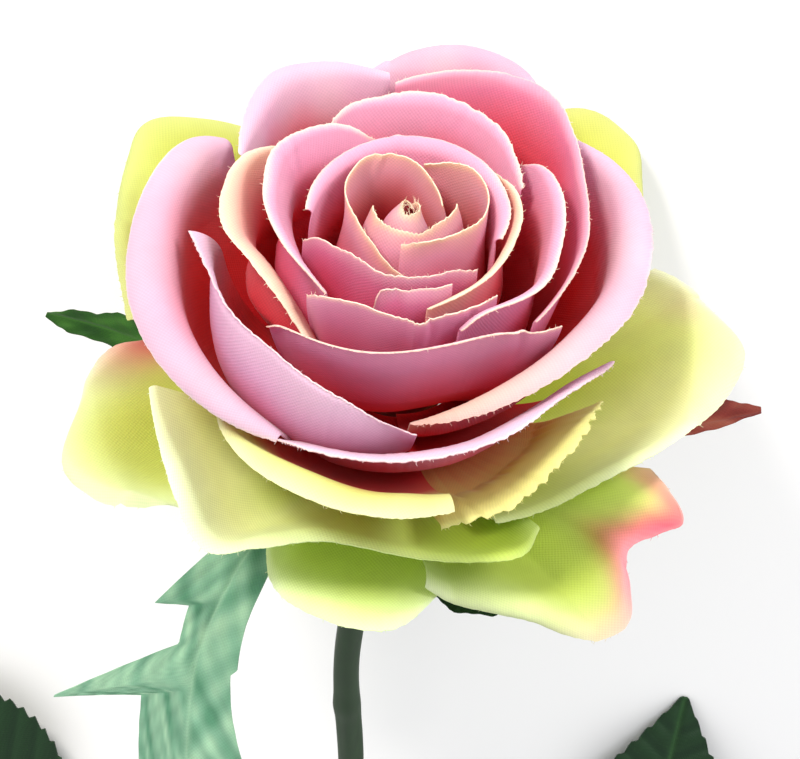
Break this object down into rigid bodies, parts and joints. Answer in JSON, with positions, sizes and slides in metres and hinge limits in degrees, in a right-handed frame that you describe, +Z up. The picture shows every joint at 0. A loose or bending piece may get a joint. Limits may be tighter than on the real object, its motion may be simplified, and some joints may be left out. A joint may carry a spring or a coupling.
{
  "type": "artificial cut rose",
  "caption": "Cloth garden rose with layered pink petals and yellow-green outer petals, jagged sepals, two leaf sprays and a wired plastic stem, lying on its side.",
  "frame": {"origin": "middle of the box that holds the rose, on the surface it lies on", "axes": "+Y along the stem from the bloom to the cut end, +Z up from the surface, the bloom faces -Y"},
  "size_m": [0.1832, 0.2972, 0.1139],
  "materials": {
    "petal_pink": "woven polyester, dyed light pink to crimson",
    "petal_green": "woven polyester, dyed yellow-green with pink blushes",
    "sepal_cloth": "woven polyester, printed green",
    "leaf_cloth": "woven polyester, waxed dark green",
    "stem_plastic": "extruded polyethylene, dark green",
    "core_foam": "expanded polystyrene",
    "wire_steel": "drawn wire"
  },
  "bodies": {
    "root": {"bud_core": "core_foam", "calyx_cup": "stem_plastic", "leaf_clip_left": "stem_plastic", "leaf_clip_right": "stem_plastic", "leaf_stalk_left": "stem_plastic", "leaf_stalk_right": "stem_plastic", "leaflet_left_end": "leaf_cloth", "leaflet_left_inner": "leaf_cloth", "leaflet_left_outer": "leaf_cloth", "leaflet_right_end": "leaf_cloth", "leaflet_right_inner": "leaf_cloth", "leaflet_right_outer": "leaf_cloth", "petal_bowl_front": "petal_pink", "petal_bowl_left": "petal_pink", "petal_bud_twist": "petal_pink", "petal_cup_back": "petal_pink", "petal_cup_front": "petal_pink", "petal_cup_left": "petal_pink", "petal_cup_right": "petal_pink", "petal_guard_back_left": "petal_green", "petal_guard_back_right": "petal_green", "petal_guard_left": "petal_green", "petal_guard_low_front": "petal_green", "petal_guard_low_left": "petal_green", "petal_guard_low_right": "petal_green", "petal_guard_right": "petal_green", "petal_heart_front": "petal_pink", "petal_heart_left": "petal_pink", "petal_heart_right": "petal_pink", "petal_inner_back": "petal_pink", "petal_inner_front": "petal_pink", "petal_inner_right": "petal_pink", "petal_inner_tuck": "petal_pink", "petal_outer_back": "petal_pink", "petal_outer_back_left": "petal_pink", "petal_outer_back_right": "petal_pink", "petal_outer_folded": "petal_pink", "petal_outer_left": "petal_pink", "petal_outer_right": "petal_pink", "petal_skirt_front": "petal_pink", "petal_skirt_left": "petal_green", "petal_skirt_right": "petal_green", "sepal_back": "sepal_cloth", "sepal_front": "sepal_cloth", "sepal_left": "sepal_cloth", "sepal_long": "sepal_cloth", "sepal_right": "sepal_cloth", "stem_sleeve": "stem_plastic", "stem_wire": "wire_steel"}
  },
  "joints": []
}
